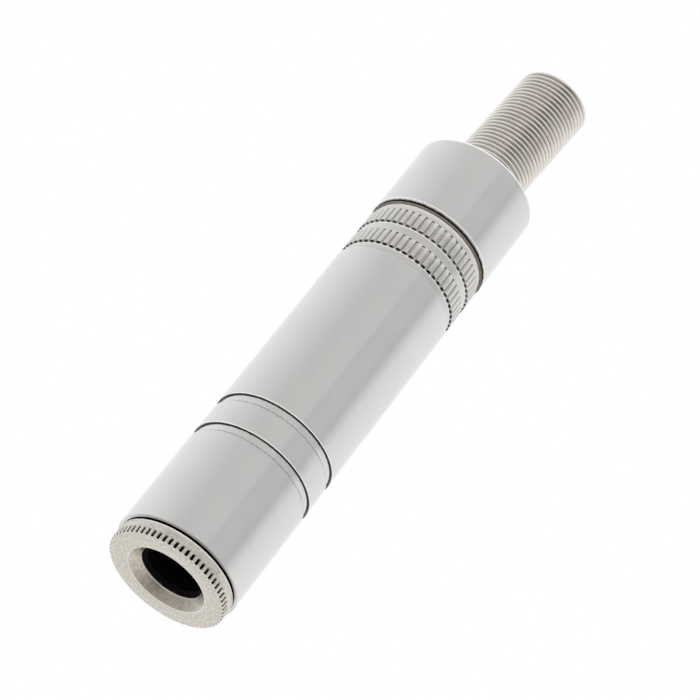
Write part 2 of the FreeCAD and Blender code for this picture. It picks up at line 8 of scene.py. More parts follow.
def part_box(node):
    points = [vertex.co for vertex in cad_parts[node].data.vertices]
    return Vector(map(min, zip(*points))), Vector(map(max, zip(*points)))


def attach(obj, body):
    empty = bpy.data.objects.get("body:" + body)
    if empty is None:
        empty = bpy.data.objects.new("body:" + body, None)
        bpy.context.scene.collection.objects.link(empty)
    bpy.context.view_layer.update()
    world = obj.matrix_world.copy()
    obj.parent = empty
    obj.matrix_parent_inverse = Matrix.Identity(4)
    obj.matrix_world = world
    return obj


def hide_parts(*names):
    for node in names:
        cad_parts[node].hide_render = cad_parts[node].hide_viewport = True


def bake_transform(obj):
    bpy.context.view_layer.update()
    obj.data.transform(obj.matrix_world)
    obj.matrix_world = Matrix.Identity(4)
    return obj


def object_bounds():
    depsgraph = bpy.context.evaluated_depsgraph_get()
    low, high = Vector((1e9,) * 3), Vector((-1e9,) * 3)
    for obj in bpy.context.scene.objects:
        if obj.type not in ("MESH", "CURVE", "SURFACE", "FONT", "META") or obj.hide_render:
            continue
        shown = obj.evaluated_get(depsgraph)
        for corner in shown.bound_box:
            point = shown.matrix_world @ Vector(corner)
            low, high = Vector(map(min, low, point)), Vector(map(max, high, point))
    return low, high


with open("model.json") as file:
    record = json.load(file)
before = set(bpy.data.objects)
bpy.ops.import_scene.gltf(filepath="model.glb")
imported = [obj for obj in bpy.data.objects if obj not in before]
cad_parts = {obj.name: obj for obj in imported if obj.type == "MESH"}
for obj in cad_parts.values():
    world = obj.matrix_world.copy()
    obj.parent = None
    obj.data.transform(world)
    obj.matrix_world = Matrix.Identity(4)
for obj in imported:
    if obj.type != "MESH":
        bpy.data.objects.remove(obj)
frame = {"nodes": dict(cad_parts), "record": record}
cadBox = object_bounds()
mm = 0.001
hair = 0.001 * mm  # by which heights and radii are told apart
fullTurn = 2 * math.pi
scene = bpy.context.scene
scene.view_settings.view_transform = "Standard"


# the camera looks up at the mouth from in front and below, as the photograph does
camera = {
    "spot": (0.0, -288.47, -147.30),  # mm
    "aim": (0.217, 0.0, 35.167),  # mm, where the middle of the picture meets the socket
    "roll": 38.242,  # degrees
    "lens": 164.588,
    "sensor": 36.0,
    "clip": (0.01, 10),  # metres
}


def placeCamera():
    data = bpy.data.cameras.new("camera")
    data.lens = camera["lens"]
    data.sensor_width = camera["sensor"]
    data.clip_start, data.clip_end = camera["clip"]
    holder = bpy.data.objects.new("camera", data)
    scene.collection.objects.link(holder)
    spot = Vector(camera["spot"]) * mm
    facing = (Vector(camera["aim"]) * mm - spot).to_track_quat("-Z", "Y")
    holder.rotation_mode = "QUATERNION"
    holder.rotation_quaternion = facing @ Quaternion((0, 0, 1), math.radians(camera["roll"]))
    holder.location = spot
    scene.camera = holder
    print("camera placed")


# node helpers for the materials and the world
def addNode(tree, kind, inputs=None, **options):
    node = tree.nodes.new("ShaderNode" + kind)
    for option, value in options.items():
        setattr(node, option, value)
    for socket, value in (inputs or {}).items():
        if isinstance(value, bpy.types.NodeSocket):
            tree.links.new(value, node.inputs[socket])
        else:
            node.inputs[socket].default_value = value
    return node


def mathNode(tree, operation, first, second=0.0):
    return addNode(tree, "Math", {0: first, 1: second}, operation=operation).outputs[0]


def spread(tree, value, low, high, fromLow=0.3, fromHigh=0.7):
    # the usual span is the one that a noise texture mostly keeps to
    sockets = {"Value": value, "From Min": fromLow, "From Max": fromHigh, "To Min": low, "To Max": high}
    return addNode(tree, "MapRange", sockets).outputs["Result"]


def layColour(tree, under, amount, over):
    # one colour over another, each a socket or an (r, g, b)
    first, second = (value if isinstance(value, bpy.types.NodeSocket) else (*value, 1)
                     for value in (under, over))
    mix = addNode(tree, "Mix", {"Factor": amount, "A": first, "B": second}, data_type="RGBA")
    return mix.outputs["Result"]


def speckle(tree, vector, scale, detail=2.0):
    return addNode(tree, "TexNoise", {"Vector": vector, "Scale": scale, "Detail": detail}).outputs["Fac"]


# the studio is a white tent, a little darker on the camera's side and dark where the camera stands
studio = {
    "lightLevel": 0.8,
    "tent": (  # degrees round from the camera's side, brightness there
        (-180, 1.0), (-125, 1.0), (-100, 0.94), (-80, 0.865), (-60, 0.795), (-50, 0.75), (-30, 0.715),
        (-10, 0.735), (13, 0.735), (19, 0.665), (32, 0.685), (48, 0.675), (60, 0.645), (71, 0.80),
        (82, 0.925), (96, 0.965), (115, 1.0), (180, 1.0),
    ),
    "warmth": (1.02, 1.0, 0.975),  # tint of the camera's side
    "warmSpan": (100, 10),  # degrees over which that tint fades out, left and right
    "cameraSide": (0.17, -0.83, -0.53),  # where the dark of the camera lies, seen from the socket
    "below": (  # degrees from there, colour of the lower half of the tent
        (180, (1.0, 1.0, 1.0)), (118, (0.99, 0.985, 0.975)), (96, (0.73, 0.71, 0.675)),
        (66, (0.58, 0.555, 0.52)), (37, (0.44, 0.415, 0.385)), (21, (0.34, 0.315, 0.29)),
        (13, (0.06, 0.055, 0.05)), (0, (0.045, 0.04, 0.04)),
    ),
    "belowAcross": (  # towards +X, and how much brighter the lower half is there
        (-1, 0.6), (-0.8, 0.72), (-0.5, 0.93), (0, 1.0), (0.3, 0.92), (0.5, 0.85), (0.75, 1.15), (1, 1.25),
    ),
    "belowSpan": (-0.14, 0.02),  # heights, as sines, between which the lower half gives way to the ring
    "above": (0.96, 0.96, 0.96),
    "aboveSpan": (0.60, 0.70),  # sines of the heights between which the ring gives way to it
    "floorRadius": 1.6,  # metres, as the next sizes of the floor and the lamp
    "floorHole": 7.0 * mm,  # under the nut, so that the floor doesn't touch it
    "floorMiddle": 0.05,
    "floorSides": 96,
    "floorDrop": 0.01 * mm,
    "floorColour": (0.93, 0.93, 0.925),
    "floorFade": (0.16, 0.42),  # metres from the socket over which the floor melts into the background
    "lampSpot": (-0.34, -0.42, 0.62),
    "lampSize": 0.5,
    "lampPower": 1.6,
}


def backdropRay(tree):
    path = addNode(tree, "LightPath").outputs
    seen = mathNode(tree, "MAXIMUM", path["Is Camera Ray"], path["Is Glossy Ray"])
    return mathNode(tree, "MAXIMUM", seen, path["Is Transmission Ray"]), path["Is Glossy Ray"]


def toneRamp(tree, position, tones):
    # colours along a ramp, from (place, colour) pairs in rising order
    ramp = addNode(tree, "ValToRGB", {"Fac": position})
    stops = ramp.color_ramp.elements
    stops.remove(stops[0])
    for number, (place, colour) in enumerate(tones):
        stop = stops.new(place) if number else stops[0]
        if not number:
            stop.position = place
        stop.color = (*colour, 1)
    return ramp.outputs["Color"]


def ringTones():
    for degrees, level in studio["tent"]:
        span = studio["warmSpan"][0] if degrees < 0 else studio["warmSpan"][1]
        warm = max(0.0, 1 - abs(degrees) / span)
        yield (degrees + 180) / 360, [level * (1 + warm * (tint - 1)) for tint in studio["warmth"]]


def lightTent():
    world = bpy.data.worlds.new("tent")
    scene.world = world
    world.use_nodes = True
    tree = world.node_tree
    tree.nodes.clear()
    direction = addNode(tree, "TexCoord").outputs["Generated"]
    towards = addNode(tree, "SeparateXYZ", {0: direction}).outputs
    front = mathNode(tree, "MULTIPLY", towards["Y"], -1.0)
    angle = mathNode(tree, "ARCTAN2", towards["X"], front)
    ring = toneRamp(tree, spread(tree, angle, 0, 1, -math.pi, math.pi), ringTones())
    cameraSide = Vector(studio["cameraSide"]).normalized()
    nearness = addNode(tree, "VectorMath", {0: direction, 1: cameraSide},
                       operation="DOT_PRODUCT").outputs["Value"]
    tones = [((math.cos(math.radians(degrees)) + 1) / 2, colour) for degrees, colour in studio["below"]]
    below = toneRamp(tree, spread(tree, nearness, 0, 1, -1, 1), tones)
    sides = [((across + 1) / 2, (level, level, level)) for across, level in studio["belowAcross"]]
    side = toneRamp(tree, spread(tree, towards["X"], 0, 1, -1, 1), sides)
    below = addNode(tree, "VectorMath", {0: below, 1: side}, operation="MULTIPLY").outputs["Vector"]
    tent = layColour(tree, ring, spread(tree, towards["Z"], 1, 0, *studio["belowSpan"]), below)
    tent = layColour(tree, tent, spread(tree, towards["Z"], 0, 1, *studio["aboveSpan"]), studio["above"])
    backdrop, glossy = backdropRay(tree)
    white = layColour(tree, (1, 1, 1), glossy, tent)
    seen = addNode(tree, "Background", {"Color": white, "Strength": 1.0})
    light = addNode(tree, "Background", {"Color": (1, 1, 1, 1), "Strength": studio["lightLevel"]})
    both = addNode(tree, "MixShader", {0: backdrop, 1: light.outputs[0], 2: seen.outputs[0]})
    addNode(tree, "OutputWorld", {"Surface": both.outputs[0]})
    print("tent lit")


def hangLamp():
    data = bpy.data.lights.new("softbox", "AREA")
    data.energy = studio["lampPower"]
    data.size = studio["lampSize"]
    lamp = bpy.data.objects.new("softbox", data)
    scene.collection.objects.link(lamp)
    lamp.location = studio["lampSpot"]
    lamp.rotation_mode = "QUATERNION"
    middle = (cadBox[0] + cadBox[1]) / 2
    lamp.rotation_quaternion = (Vector(middle) - lamp.location).to_track_quat("-Z", "Y")
    lamp.visible_glossy = False
    print("softbox hung")


def layFloor():
    bm = bmesh.new()
    for radius in (studio["floorHole"], studio["floorMiddle"], studio["floorRadius"]):
        bmesh.ops.create_circle(bm, cap_ends=False, radius=radius, segments=studio["floorSides"])
    bmesh.ops.bridge_loops(bm, edges=bm.edges[:])
    bmesh.ops.recalc_face_normals(bm, faces=bm.faces[:])
    if bm.faces[:][0].normal.z < 0:
        bmesh.ops.reverse_faces(bm, faces=bm.faces[:])
    bmesh.ops.translate(bm, verts=bm.verts[:], vec=(0, 0, -studio["floorDrop"]))
    mesh = bpy.data.meshes.new("floor")
    bm.to_mesh(mesh)
    bm.free()
    floor = bpy.data.objects.new("floor", mesh)
    scene.collection.objects.link(floor)
    material = bpy.data.materials.new("pale floor")
    material.use_nodes = True
    tree = material.node_tree
    tree.nodes.clear()
    place = addNode(tree, "TexCoord").outputs["Object"]
    distance = addNode(tree, "VectorMath", {0: place}, operation="LENGTH").outputs["Value"]
    near, far = studio["floorFade"]
    fade = addNode(tree, "MapRange", {"Value": distance, "From Min": near, "From Max": far},
                   interpolation_type="SMOOTHSTEP").outputs["Result"]
    backdrop, glossy = backdropRay(tree)
    melt = mathNode(tree, "MULTIPLY", fade, backdrop)
    pale = addNode(tree, "BsdfDiffuse", {"Color": (*studio["floorColour"], 1)})
    white = addNode(tree, "Emission", {"Color": (1, 1, 1, 1), "Strength": 1.0})
    top = addNode(tree, "MixShader", {0: melt, 1: pale.outputs[0], 2: white.outputs[0]})
    under = addNode(tree, "BsdfTransparent")
    side = addNode(tree, "NewGeometry").outputs["Backfacing"]
    clear = mathNode(tree, "MAXIMUM", side, glossy)  # metal shows the lower half of the tent through it
    both = addNode(tree, "MixShader", {0: clear, 1: top.outputs[0], 2: under.outputs[0]})
    addNode(tree, "OutputMaterial", {"Surface": both.outputs[0]})
    mesh.materials.append(material)
    print("floor laid")


# materials
def newMaterial(name, colour, roughness, metallic=0.0):
    material = bpy.data.materials.new(name)
    material.use_nodes = True
    shader = material.node_tree.nodes["Principled BSDF"]
    shader.inputs["Base Color"].default_value = (*colour, 1)
    shader.inputs["Roughness"].default_value = roughness
    shader.inputs["Metallic"].default_value = metallic
    place = addNode(material.node_tree, "TexCoord").outputs["Object"]
    return material, material.node_tree, shader.inputs, place


def varyColour(tree, sockets, amount, first, second):
    tree.links.new(layColour(tree, first, amount, second), sockets["Base Color"])


def varyRoughness(tree, sockets, amount, low, high):
    tree.links.new(spread(tree, amount, low, high), sockets["Roughness"])


def addBump(tree, sockets, height, depth, strength=0.4):
    bump = addNode(tree, "Bump", {"Height": height, "Distance": depth, "Strength": strength})
    tree.links.new(bump.outputs["Normal"], sockets["Normal"])


def latheVector(tree, place):
    # a pattern on this vector runs round the axis, as a turning tool leaves it
    parts = addNode(tree, "SeparateXYZ", {0: place}).outputs
    flat = addNode(tree, "VectorMath", {0: place, 1: (1, 1, 0)}, operation="MULTIPLY").outputs["Vector"]
    radius = addNode(tree, "VectorMath", {0: flat}, operation="LENGTH").outputs["Value"]
    return addNode(tree, "CombineXYZ", {"X": radius, "Z": parts["Z"]}).outputs["Vector"]


# painted shade and painted highlights laid over the plated pieces' colours, and the shapes of their marks
paintedLight = {
    "paintedDeepShade": (0.045, 0.042, 0.04),  # painted shade, the darkest, for the nut's seam and under the lower knurled band's teeth
    "paintedDarkShade": (0.10, 0.095, 0.09),
    "paintedMidShade": (0.38, 0.375, 0.37),
    "paintedPaleShade": (0.53, 0.52, 0.505),
    "paintedHighlight": (0.96, 0.95, 0.93),  # painted highlight, pale along edges
    "paintedHighlightMetallic": 0.3,
    "ragged": 0.2,  # how unevenly a mark's border runs
    "raggedScale": 2600,
    "core": 0.6,  # share of a mark's size that has its full colour
    "toothSpan": (0.0, 0.6),  # cosines round a tooth over which a dash fades in
    "pitFade": 0.03 * mm,
}


def ringAt(radius, height, mark):
    # a mark's circle, from how far in and how far on it lies off a corner, and its size
    inward, onward, size = mark
    return radius - inward, height + onward, size


def nearRings(tree, place, rings):
    # 1 close to any of the circles (radius, height, size) round the axis, 0 beyond their size
    lathe = latheVector(tree, place)
    ragged = spread(tree, speckle(tree, place, paintedLight["raggedScale"]), 1 - paintedLight["ragged"], 1 + paintedLight["ragged"])
    near = 0.0
    for radius, height, size in rings:
        away = addNode(tree, "VectorMath", {0: lathe, 1: (radius, 0, height)},
                       operation="DISTANCE").outputs["Value"]
        away = mathNode(tree, "MULTIPLY", away, ragged)
        near = mathNode(tree, "MAXIMUM", spread(tree, away, 1, 0, size * paintedLight["core"], size), near)
    return near


def onTeeth(tree, place, count):
    # 1 on the teeth of a knurl, 0 in its gaps
    parts = addNode(tree, "SeparateXYZ", {0: place}).outputs
    angle = mathNode(tree, "ARCTAN2", parts["Y"], parts["X"])
    wave = mathNode(tree, "COSINE", mathNode(tree, "MULTIPLY", angle, count))
    return spread(tree, wave, 1, 0, *paintedLight["toothSpan"])


def insideBands(tree, place, bands):
    # 1 in the cuts of any of the bands (low, high, inner, outer), 0 elsewhere
    lathe = addNode(tree, "SeparateXYZ", {0: latheVector(tree, place)}).outputs
    inside = 0.0
    for low, high, inner, outer in bands:
        share = spread(tree, lathe["X"], 1, 0, outer - paintedLight["pitFade"], outer)
        limits = (("Z", "GREATER_THAN", low), ("Z", "LESS_THAN", high), ("X", "GREATER_THAN", inner))
        for value, side, limit in limits:
            share = mathNode(tree, "MULTIPLY", mathNode(tree, side, lathe[value], limit), share)
        inside = mathNode(tree, "MAXIMUM", share, inside)
    return inside


def paintLightAndShade(tree, sockets, place, clean, marks):
    # painted shade and painted highlights, in layers of (kind, circles or bands, colour), the first one
    # lowest;
    # "edges" are painted highlights that also lose some of their metal shine, "lines" are plain rings,
    # "dashes" stay on the teeth of the knurl
    colour = clean
    for kind, areas, shade in marks:
        mask = (insideBands if kind == "pits" else nearRings)(tree, place, areas)
        if kind == "dashes":
            mask = mathNode(tree, "MULTIPLY", mask, onTeeth(tree, place, collar["teeth"]))
        if kind == "edges":
            tree.links.new(spread(tree, mask, 1, paintedLight["paintedHighlightMetallic"], 0, 1), sockets["Metallic"])
        colour = layColour(tree, colour, mask, paintedLight[shade])
    tree.links.new(colour, sockets["Base Color"])


chrome = {
    "shades": ((0.685, 0.685, 0.69), (0.71, 0.708, 0.70)),
    "cloudScale": 260,
    "roughness": (0.07, 0.13),
    "roughScale": 90,
    "turnedScale": 9000,
    "turnedDepth": 0.0004 * mm,
}

nickel = {
    "shades": ((0.645, 0.635, 0.615), (0.70, 0.69, 0.675)),
    "cloudScale": 700,
    "roughness": (0.12, 0.2),
    "roughScale": 1500,
    "turnedScale": 11000,
    "turnedDepth": 0.001 * mm,
}

satin = {
    "shades": ((0.54, 0.505, 0.44), (0.785, 0.755, 0.70)),
    "mottleScale": 2600,
    "speckScale": 11000,
    "mottleSpan": (0.7, 1.3),  # of the sum of both
    "roughness": (0.22, 0.42),
    "roughScale": 2500,
    "grainScale": 7000,
    "turnedScale": 12000,
    "grainDepth": 0.008 * mm,
    "grainStrength": 0.5,
}


def polishedPlating(name, plating, marks):
    dark, pale = plating["shades"]
    material, tree, sockets, place = newMaterial(name, pale, plating["roughness"][0], 1.0)
    cloud = speckle(tree, place, plating["cloudScale"], 3)
    clean = layColour(tree, dark, spread(tree, cloud, 0, 1), pale)
    varyRoughness(tree, sockets, speckle(tree, place, plating["roughScale"]), *plating["roughness"])
    turned = speckle(tree, latheVector(tree, place), plating["turnedScale"])
    addBump(tree, sockets, turned, plating["turnedDepth"])
    paintLightAndShade(tree, sockets, place, clean, marks)
    return material


def satinPlating(name, plating, marks):
    dark, pale = plating["shades"]
    material, tree, sockets, place = newMaterial(name, pale, plating["roughness"][0], 1.0)
    mottle = mathNode(tree, "ADD", speckle(tree, place, plating["mottleScale"], 1),
                      speckle(tree, place, plating["speckScale"]))
    clean = layColour(tree, dark, spread(tree, mottle, 0, 1, *plating["mottleSpan"]), pale)
    varyRoughness(tree, sockets, speckle(tree, place, plating["roughScale"]), *plating["roughness"])
    grain = speckle(tree, place, plating["grainScale"], 3)
    turned = speckle(tree, latheVector(tree, place), plating["turnedScale"])
    rough = mathNode(tree, "ADD", grain, turned)
    addBump(tree, sockets, rough, plating["grainDepth"], plating["grainStrength"])
    paintLightAndShade(tree, sockets, place, clean, marks)
    return material


wireNickel = {
    "shades": ((0.74, 0.705, 0.66), (0.83, 0.80, 0.76)),
    "cloudScale": 700,
    "roughness": (0.07, 0.15),
    "roughScale": 1800,
    "grainScale": 9000,
    "grainDepth": 0.001 * mm,
}


def springNickel():
    dark, pale = wireNickel["shades"]
    material, tree, sockets, place = newMaterial("spring nickel", pale, wireNickel["roughness"][0], 1.0)
    clean = layColour(tree, dark, spread(tree, speckle(tree, place, wireNickel["cloudScale"], 3), 0, 1), pale)
    # painted shade where neighbouring turns meet
    crevice = addNode(tree, "Attribute", attribute_name="crevice").outputs["Fac"]
    creviceShade = spread(tree, crevice, 0, 1, *spring["creviceShadeSpan"])
    tree.links.new(layColour(tree, clean, creviceShade, spring["creviceShade"]), sockets["Base Color"])
    varyRoughness(tree, sockets, speckle(tree, place, wireNickel["roughScale"]), *wireNickel["roughness"])
    addBump(tree, sockets, speckle(tree, place, wireNickel["grainScale"]), wireNickel["grainDepth"])
    return material


moulding = {
    "colour": (0.003, 0.003, 0.003),
    "specular": 0.06,
    "roughness": (0.5, 0.7),
    "roughScale": 2500,
    "grainScale": 6000,
    "grainDepth": 0.006 * mm,
    "grainStrength": 0.5,
}


def blackMoulding():
    low, high = moulding["roughness"]
    material, tree, sockets, place = newMaterial("black moulding", moulding["colour"], low)
    sockets["Specular IOR Level"].default_value = moulding["specular"]
    varyRoughness(tree, sockets, speckle(tree, place, moulding["roughScale"]), low, high)
    grain = speckle(tree, place, moulding["grainScale"], 3)
    addBump(tree, sockets, grain, moulding["grainDepth"], moulding["grainStrength"])
    return material


nylon = {
    "shades": ((0.80, 0.79, 0.73), (0.86, 0.85, 0.81)),
    "cloudScale": 500,
    "roughness": 0.45,
    "glow": 0.15,  # share of the light that goes in
    "glowDepth": 0.5 * mm,
    "grainScale": 4000,
    "grainDepth": 0.004 * mm,
}


def whiteNylon():
    dark, pale = nylon["shades"]
    material, tree, sockets, place = newMaterial("white nylon", pale, nylon["roughness"])
    sockets["Subsurface Weight"].default_value = nylon["glow"]
    sockets["Subsurface Scale"].default_value = nylon["glowDepth"]
    varyColour(tree, sockets, spread(tree, speckle(tree, place, nylon["cloudScale"]), 0, 1), dark, pale)
    addBump(tree, sockets, speckle(tree, place, nylon["grainScale"]), nylon["grainDepth"])
    return material


sleeving = {"colour": (0.82, 0.80, 0.74), "clearness": 0.5, "roughness": (0.25, 0.4), "roughScale": 1500}


def clearSleeve():
    low, high = sleeving["roughness"]
    material, tree, sockets, place = newMaterial("clear sleeve", sleeving["colour"], low)
    sockets["Transmission Weight"].default_value = sleeving["clearness"]
    varyRoughness(tree, sockets, speckle(tree, place, sleeving["roughScale"]), low, high)
    return material


fibre = {
    "shades": ((0.15, 0.115, 0.09), (0.25, 0.205, 0.165)),
    "roughness": 0.7,
    "threadScale": 3500,
    "threadDepth": 0.02 * mm,
    "threadStrength": 0.6,
}


def vulcanisedFibre():
    dark, pale = fibre["shades"]
    material, tree, sockets, place = newMaterial("vulcanised fibre", pale, fibre["roughness"])
    threads = speckle(tree, place, fibre["threadScale"], 4)
    varyColour(tree, sockets, spread(tree, threads, 0, 1), dark, pale)
    addBump(tree, sockets, threads, fibre["threadDepth"], fibre["threadStrength"])
    return material


sheet = {
    "cloudScale": 800,
    "roughSpan": (-0.06, 0.08),  # either side of a metal's own roughness
    "roughScale": 1500,
    "grainScale": 20000,
    "grainStretch": (1, 1, 0.08),  # it runs along the socket
    "grainDepth": 0.002 * mm,
}


def rolledMetal(name, dark, pale, roughness):
    material, tree, sockets, place = newMaterial(name, pale, roughness, 1.0)
    varyColour(tree, sockets, spread(tree, speckle(tree, place, sheet["cloudScale"], 3), 0, 1), dark, pale)
    low, high = (roughness + part for part in sheet["roughSpan"])
    varyRoughness(tree, sockets, speckle(tree, place, sheet["roughScale"]), low, high)
    stretched = addNode(tree, "Mapping", {"Vector": place, "Scale": sheet["grainStretch"]}).outputs["Vector"]
    addBump(tree, sockets, speckle(tree, stretched, sheet["grainScale"]), sheet["grainDepth"])
    return material


finish = {
    "black_moulding": blackMoulding(),
    "white_nylon": whiteNylon(),
    "clear_sleeve": clearSleeve(),
    "fibre": vulcanisedFibre(),
    "spring_bronze": rolledMetal("spring bronze", (0.55, 0.36, 0.19), (0.76, 0.55, 0.32), 0.25),
    "tinned_brass": rolledMetal("tinned brass", (0.58, 0.57, 0.54), (0.72, 0.71, 0.67), 0.32),
    "brass": rolledMetal("bare brass", (0.68, 0.48, 0.22), (0.82, 0.64, 0.34), 0.25),
    "washer_steel": rolledMetal("zinc plated steel", (0.52, 0.53, 0.54), (0.66, 0.66, 0.66), 0.3),
}
print("plain finishes mixed")


roundingSegments = 3
smoothAngle = 35  # degrees, past which an edge stays sharp
replacedNodes = set()


# turned pieces start as an outline of (radius, height, rounding), in metres, and are spun round the axis
def outlineMesh(outline):
    bm = bmesh.new()
    corners = [bm.verts.new((radius, 0, height)) for radius, height, rounding in outline]
    for start, end in zip(corners, corners[1:] + corners[:1]):
        bm.edges.new((start, end))
    for size in sorted({rounding for radius, height, rounding in outline} - {0}):
        chosen = [corner for corner, point in zip(corners, outline) if point[2] == size]
        bmesh.ops.bevel(bm, geom=chosen, offset=size, offset_type="OFFSET", affect="VERTICES",
                        segments=roundingSegments, profile=0.5, material=-1)
    return bm


def spinRound(bm, steps):
    bmesh.ops.spin(bm, geom=bm.verts[:] + bm.edges[:], cent=(0, 0, 0), axis=(0, 0, 1), dvec=(0, 0, 0),
                   angle=fullTurn, steps=steps, use_merge=True, use_normal_flip=False, use_duplicate=False)
    bmesh.ops.remove_doubles(bm, verts=bm.verts[:], dist=hair / 10)
    bmesh.ops.recalc_face_normals(bm, faces=bm.faces[:])


def spinHelix(bm, coil):
    # sweeps the closed section in bm along a coil with a pitch, turns and steps a turn, and closes its ends
    firstLoop = bm.edges[:]
    spun = bmesh.ops.spin(bm, geom=bm.verts[:] + bm.edges[:], cent=(0, 0, 0), axis=(0, 0, 1),
                          dvec=(0, 0, coil["pitch"] / coil["steps"]), angle=fullTurn * coil["turns"],
                          steps=round(coil["turns"] * coil["steps"]), use_merge=False,
                          use_normal_flip=False, use_duplicate=False)
    lastLoop = [item for item in spun["geom_last"] if isinstance(item, bmesh.types.BMEdge)]
    for loop in (firstLoop, lastLoop):
        bmesh.ops.contextual_create(bm, geom=loop)
    bmesh.ops.recalc_face_normals(bm, faces=bm.faces[:])


def cutRound(bm, columns, cuts, chosen, steps):
    # sinks the columns of each tooth by the cut that each has, counted from the middle of a gap
    for vert in bm.verts:
        share = chosen(math.hypot(vert.co.x, vert.co.y), vert.co.z)
        if share:
            column = round(math.atan2(vert.co.y, vert.co.x) / fullTurn * steps) % columns
            depth = cuts[min(column, columns - column)] * share
            vert.co.xy *= 1 - depth / vert.co.xy.length


def addPiece(bm, name, slot, material, body, *nodes):
    mesh = bpy.data.meshes.new(name)
    bm.to_mesh(mesh)
    bm.free()
    mesh.shade_smooth()
    mesh.set_sharp_from_angle(angle=math.radians(smoothAngle))
    mesh.materials.append(material)
    piece = bpy.data.objects.new(name, mesh)
    scene.collection.objects.link(piece)
    even = piece.modifiers.new("even normals", "WEIGHTED_NORMAL")
    even.keep_sharp = True
    if body:
        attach(piece, body)
    if nodes:
        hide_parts(*nodes)
        replacedNodes.update(nodes)
    print(name, "made with", len(mesh.polygons), "faces")
    return piece


def reach(node):
    low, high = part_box(node)
    return high[0], low[2], high[2]


nut = {
    "seamDepth": 0.33 * mm,
    "flange": 1.75 * mm,
    "seamGap": 0.2 * mm,
    "threadRadius": 6.0 * mm,
    "socketRadius": 4.65 * mm,
    "lipRadius": 4.62 * mm,
    "throatRadius": 3.67 * mm,
    "coneDepth": 1.07 * mm,
    "throatEnd": 1.35 * mm,
    "edge": 0.15 * mm,
    "lipEdge": 0.06 * mm,
    "throatEdge": 0.05 * mm,
    "smallEdge": 0.04 * mm,
    "rearEdge": 0.2 * mm,
    "notches": 64,
    "columns": 8,  # of faces to a notch and its tooth
    "cuts": (0.34 * mm, 0.24 * mm, 0.03 * mm, 0, 0),  # depth of a column, from the notch's middle outwards
    "notchFull": 0.52 * mm,  # the notches are full depth up to here
    "notchEnd": 0.76 * mm,
    "notchReach": 0.9,  # share of the rim's rounding that they cut through
    # painted highlights and painted shade: how far in and how far on from a corner they lie, and their size
    "rimShine": (0.075 * mm, 0, 0.11 * mm),
    "backShine": (0, -0.05 * mm, 0.13 * mm),
    "lipShine": (0, 0, 0.07 * mm),
    "throatShine": (0, 0, 0.08 * mm),
    "seamShade": (0, 0.1 * mm, 0.25 * mm),
    "notchShade": (0.015 * mm, 0.6 * mm, 0.07 * mm),  # painted shade in the notches, from this height, and between these depths
}


def makeFrontNut():
    rim, front, rear = reach("front_nut")
    edge = nut["edge"]
    seam = rim - nut["seamDepth"]
    bm = outlineMesh([
        (nut["lipRadius"], front, nut["lipEdge"]),
        (rim, front, edge),
        (rim, nut["notchFull"], 0),
        (rim, nut["notchEnd"], 0),
        (rim, nut["flange"], nut["smallEdge"]),
        (seam, nut["flange"], 0),
        (seam, nut["flange"] + nut["seamGap"], 0),
        (nut["threadRadius"], nut["flange"] + nut["seamGap"], 0),
        (nut["threadRadius"], rear, nut["rearEdge"]),
        (nut["socketRadius"], rear, 0),
        (nut["socketRadius"], nut["throatEnd"], 0),
        (nut["throatRadius"], nut["throatEnd"], nut["smallEdge"]),
        (nut["throatRadius"], nut["coneDepth"], nut["throatEdge"]),
    ])
    steps = nut["notches"] * nut["columns"]
    spinRound(bm, steps)

    def notched(radius, height):
        if radius < rim - nut["notchReach"] * edge:
            return 0
        return min(1, max(0, (nut["notchEnd"] - height) / (nut["notchEnd"] - nut["notchFull"])))

    cutRound(bm, nut["columns"], nut["cuts"], notched, steps)
    notchShadeStart, deepest, shallowest = nut["notchShade"]
    # painted highlights on the rim's front and rear edges, the lip and the throat; painted shade in the
    # notches and in the seam
    material = satinPlating("satin nickel", satin, [
        ("edges", [ringAt(rim, front, nut["rimShine"]),
                   ringAt(rim, nut["flange"], nut["backShine"]),
                   ringAt(nut["lipRadius"], front, nut["lipShine"]),
                   ringAt(nut["throatRadius"], nut["coneDepth"], nut["throatShine"])], "paintedHighlight"),
        ("pits", [(front + notchShadeStart, nut["notchEnd"], rim - deepest, rim - shallowest)], "paintedDarkShade"),
        ("lines", [ringAt(seam, nut["flange"], nut["seamShade"])], "paintedDeepShade"),
    ])
    addPiece(bm, "frontNut", "satin_nickel", material, "root", "front_nut")


barrel = {
    "grooves": (12.7 * mm, 17.11 * mm),  # from the front edge
    "grooveWidth": 1.06 * mm,
    "grooveDepth": 0.22 * mm,
    "edge": 0.16 * mm,
    "grooveEdge": 0.035 * mm,
    "boreRadius": 5.5 * mm,
    "frontThread": 6.05 * mm,
    "rearThread": 6.2 * mm,
    "shoulder": 6.0 * mm,  # from the front edge
    "spigotRoom": 4.95 * mm,
    "boreEdge": 0.05 * mm,
    "steps": 192,
    # painted highlights and painted shade, as on the nut
    "grooveShine": (0, 0.08 * mm, 0.07 * mm),
    "grooveLine": (0, 0, 0.07 * mm),
    "floorLine": (0, 0, 0.26 * mm),
    "rearLine": (0, -0.04 * mm, 0.09 * mm),
    "grooveShade": (-0.06 * mm, 0, 0.16 * mm),
    "seamShade": (0.62 * mm, 0, 0.34 * mm),
}


